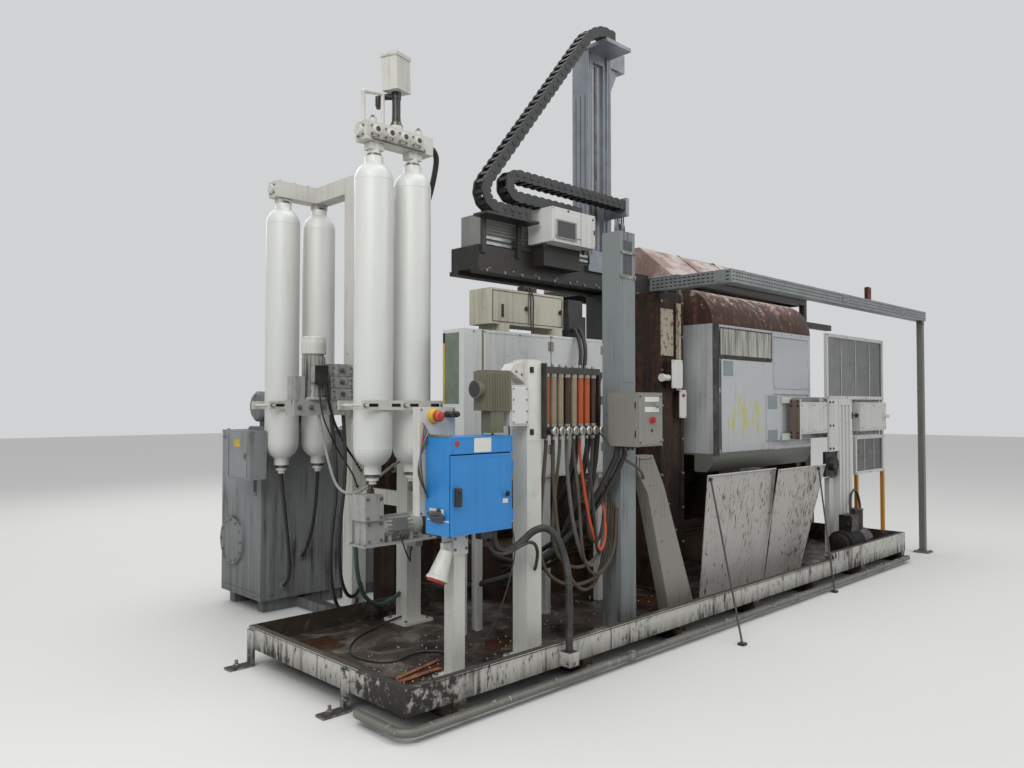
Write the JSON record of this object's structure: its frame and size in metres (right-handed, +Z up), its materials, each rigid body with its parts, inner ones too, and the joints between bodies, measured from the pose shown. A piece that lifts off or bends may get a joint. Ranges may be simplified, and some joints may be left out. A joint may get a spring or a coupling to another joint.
{
  "type": "die casting machine",
  "caption": "Cold chamber die casting machine with drip pan, accumulator bottles, guards, sliding safety door, operator cabinet, cable tray and a spray gantry.",
  "frame": {"origin": "centre of the flat underside of the machine bed, on the floor", "axes": "+X along the machine from the bottle rack towards the closing cylinder, +Y from the operator's side to the rear, +Z up"},
  "size_m": [7.27, 3.663, 4.7143],
  "materials": {
    "bed_steel": "oily rusty paint",
    "pan_floor_steel": "oil-soaked sheet steel",
    "pan_rim_paint": "chipped white paint",
    "grey_paint": "dirty grey paint",
    "white_paint": "dirty white paint",
    "cream_paint": "cream enamel",
    "bottle_paint": "satin white paint",
    "brown_rust": "rusty and oily",
    "platen_iron": "machined iron, dirty",
    "bar_steel": "ground and oiled",
    "dark_steel": "dark paint",
    "galvanised": "galvanised sheet",
    "chain_plastic": "black polyamide",
    "bellows_plastic": "grey louvred cover",
    "cabinet_blue": "blue textured enamel",
    "black_plastic": "moulded plastic",
    "tube_orange": "tinted clear tube",
    "lamp_grey": "olive grey enamel",
    "hood_pink": "faded rusty paint",
    "hose_black": "corrugated conduit",
    "hose_brown": "dirty rubber",
    "hose_grey": "dirty rubber",
    "hose_orange": "orange sleeve"
  },
  "bodies": {
    "machine": {"machine_bed": "bed_steel", "pan_floor": "pan_floor_steel", "pan_rim_front": "pan_rim_paint", "pan_rim_end": "pan_rim_paint", "kick_rail": "grey_paint", "hydraulic_tank": "grey_paint", "tank_pump": "grey_paint", "tank_box": "grey_paint", "bottles_front": "bottle_paint", "bottles_rear": "bottle_paint", "bottle_manifolds": "white_paint", "bottle_rack": "white_paint", "level_transmitter": "white_paint", "valve_group": "grey_paint", "circulation_pump": "grey_paint", "shot_unit": "brown_rust", "fixed_platen": "platen_iron", "moving_platen": "platen_iron", "rear_platen": "platen_iron", "tie_bars": "bar_steel", "closing_gear": "platen_iron", "side_tower": "brown_rust", "guard_panels": "white_paint", "rear_guard": "white_paint", "relay_box": "cream_paint", "coupler_box": "black_plastic", "drive_motor": "dark_steel", "splash_shield": "white_paint", "shield_props": "dark_steel", "hood_frame": "dark_steel", "hood_sheet": "hood_pink", "drive_stand": "white_paint", "door_drive": "white_paint", "mesh_panels": "galvanised", "cable_tray": "galvanised", "tray_post": "grey_paint", "gantry_beam": "dark_steel", "gantry_bellows": "bellows_plastic", "gantry_box": "white_paint", "gantry_mast": "grey_paint", "chain_upright": "chain_plastic", "chain_level": "chain_plastic", "service_column": "grey_paint", "junction_box": "grey_paint", "cable_trunk": "grey_paint", "white_pillar": "white_paint", "pillar_lamp": "lamp_grey", "flow_panel": "black_plastic", "flow_tubes": "tube_orange", "control_cabinet": "cabinet_blue", "cabinet_post": "white_paint", "estop_panel": "white_paint", "pillar_conduit": "hose_black", "brown_hose": "hose_brown", "grey_hose": "hose_grey", "orange_hose": "hose_orange", "manifold_hose": "hose_black"},
    "safety_door": {"safety_door": "grey_paint", "door_top_band": "brown_rust"},
    "cabinet_door": {"cabinet_door": "cabinet_blue"}
  },
  "joints": [
    {"name": "door_slide", "type": "slide", "parent": "machine", "child": "safety_door", "axis": [1, 0, 0], "range_m": [0, 1.1]},
    {"name": "cabinet_hinge", "type": "hinge", "parent": "machine", "child": "cabinet_door", "pos_m": [-3.631, -1.689, 1], "axis": [0, 0, 1], "range_deg": [0, 110]}
  ]
}
